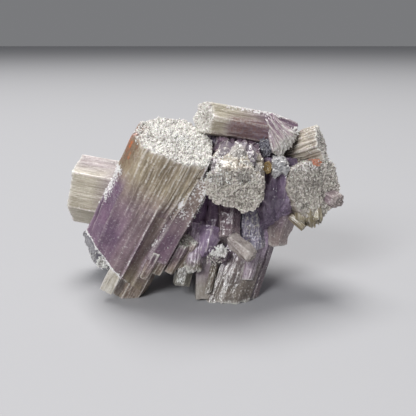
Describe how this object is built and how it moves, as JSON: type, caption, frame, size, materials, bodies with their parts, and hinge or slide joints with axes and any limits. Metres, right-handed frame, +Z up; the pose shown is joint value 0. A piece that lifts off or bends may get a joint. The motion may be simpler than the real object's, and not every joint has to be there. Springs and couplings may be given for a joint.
{
  "type": "aragonite cluster",
  "caption": "Freestanding mineral specimen of intergrown six-sided aragonite prisms, purple inside and beige at the rough ends, resting on flat feet.",
  "frame": {"origin": "on the plane the feet stand on, under the middle of the cluster", "axes": "+X to the right along the longest extent, +Y to the back, +Z up"},
  "size_m": [0.0588, 0.0416, 0.0412],
  "materials": {
    "purple_beige_aragonite": "fluted, satin, with rough pitted ends",
    "cream_aragonite": "fluted, satin",
    "beige_aragonite": "fluted, satin",
    "clear_aragonite": "glassy, slightly cloudy",
    "amber_aragonite": "glassy, slightly cloudy"
  },
  "bodies": {
    "root": {"intergrown_prisms": "purple_beige_aragonite", "top_prism": "cream_aragonite", "upper_right_prism": "beige_aragonite", "lower_left_crystal": "clear_aragonite", "tabular_crystal": "cream_aragonite", "glassy_crystal": "clear_aragonite", "amber_crystal": "amber_aragonite", "square_crystal": "beige_aragonite", "knob_crystal": "cream_aragonite"}
  },
  "joints": []
}
